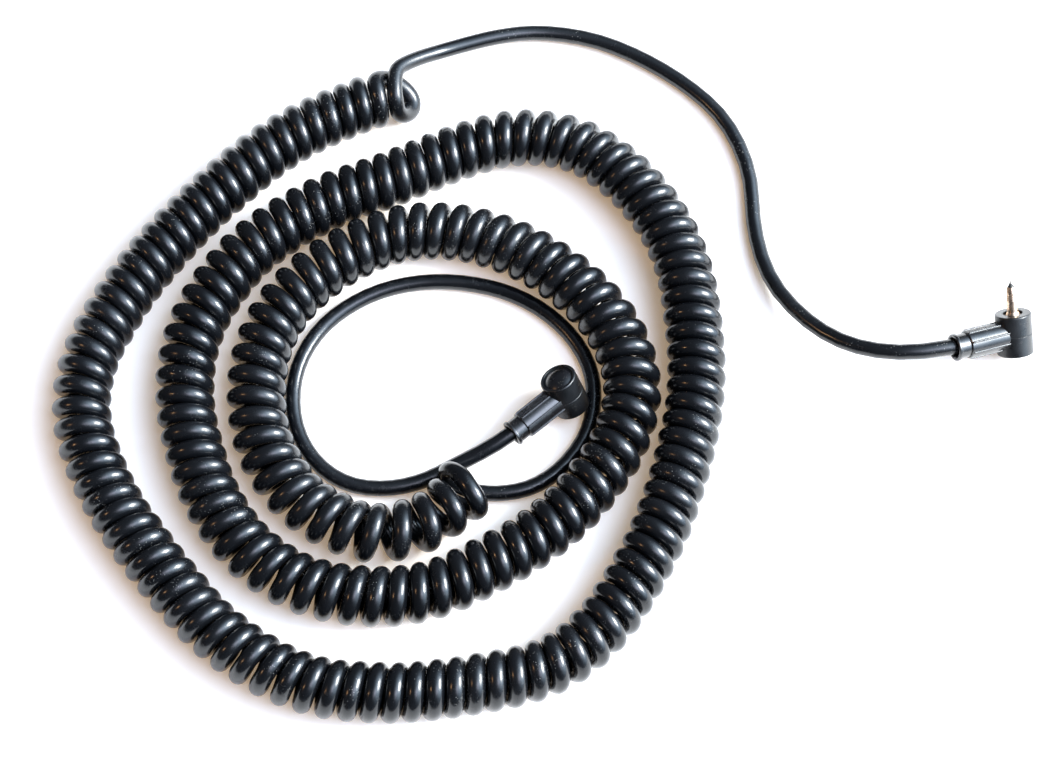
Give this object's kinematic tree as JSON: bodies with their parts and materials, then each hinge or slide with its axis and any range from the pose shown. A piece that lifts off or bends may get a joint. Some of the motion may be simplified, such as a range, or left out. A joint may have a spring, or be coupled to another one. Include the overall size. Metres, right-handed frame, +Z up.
{
  "type": "coiled flash sync cord",
  "caption": "Long black curly cord laid in a loose spiral, with a right-angle coaxial sync pin plug at one end and a matching right-angle socket plug at the other.",
  "frame": {"origin": "on the table, below the middle of the box round the two plugs", "axes": "+X to the right of the laid-out cord, +Y away from the viewer, +Z up off the table"},
  "size_m": [0.2439, 0.1889, 0.016],
  "materials": {
    "shell_plastic": "fine matt grain",
    "cap_plastic": "polished",
    "barrel_plastic": "glossy with light scuffs",
    "contact_nickel": "nickel plate, lightly worn",
    "insulator_plastic": "satin",
    "brass": "plain",
    "wire_copper": "tinned copper",
    "cord_jacket": "glossy, fine scuffs and dust"
  },
  "bodies": {
    "root": {"pin_plug_front_shell": "shell_plastic", "pin_plug_back_shell": "shell_plastic", "pin_plug_end_cap": "cap_plastic", "pin_plug_barrel": "barrel_plastic", "pin_plug_collar": "barrel_plastic", "pin_plug_cord_clamp": "brass", "pin_plug_earth_tag": "brass", "pin_plug_core_wire": "wire_copper", "pin_plug_screen_wire": "wire_copper", "pin_plug_insulator": "insulator_plastic", "pin_plug_contact_sleeve": "contact_nickel", "pin_plug_centre_pin": "contact_nickel", "socket_plug_front_shell": "shell_plastic", "socket_plug_back_shell": "shell_plastic", "socket_plug_end_cap": "cap_plastic", "socket_plug_barrel": "barrel_plastic", "socket_plug_collar": "barrel_plastic", "socket_plug_cord_clamp": "brass", "socket_plug_earth_tag": "brass", "socket_plug_core_wire": "wire_copper", "socket_plug_screen_wire": "wire_copper", "socket_plug_insulator": "insulator_plastic", "socket_plug_contact_tube": "contact_nickel", "socket_plug_centre_contact": "contact_nickel", "curly_cord": "cord_jacket", "pin_tail": "cord_jacket", "socket_tail": "cord_jacket"}
  },
  "joints": []
}
